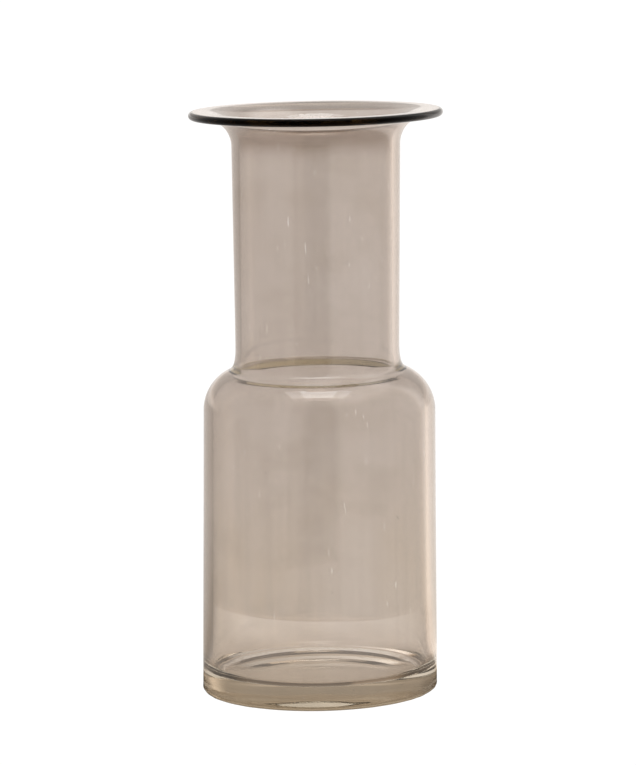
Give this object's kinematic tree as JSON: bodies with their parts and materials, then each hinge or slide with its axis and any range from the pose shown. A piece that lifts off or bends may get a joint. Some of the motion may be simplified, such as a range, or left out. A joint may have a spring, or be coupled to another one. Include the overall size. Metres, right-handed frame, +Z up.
{
  "type": "glass cylinder vase",
  "caption": "Tinted glass vase: a wide cylindrical body, a rounded shoulder, a straight narrower neck and a flat flared lip.",
  "frame": {"origin": "middle of the underside, on the surface that the vase stands on", "axes": "+Z up along the axis of the body, neck and lip; X and Y are any two directions across it, because it is round"},
  "size_m": [0.1308, 0.1308, 0.302],
  "materials": {
    "smoked_glass": "clear smoked grey-brown glass, smooth and glossy, with faint hand-blown ripples"
  },
  "bodies": {
    "root": {"floor_disc": "smoked_glass", "heel_ring": "smoked_glass", "body_wall": "smoked_glass", "shoulder": "smoked_glass", "neck": "smoked_glass", "lip_flange": "smoked_glass", "rim_bead": "smoked_glass"}
  },
  "joints": []
}
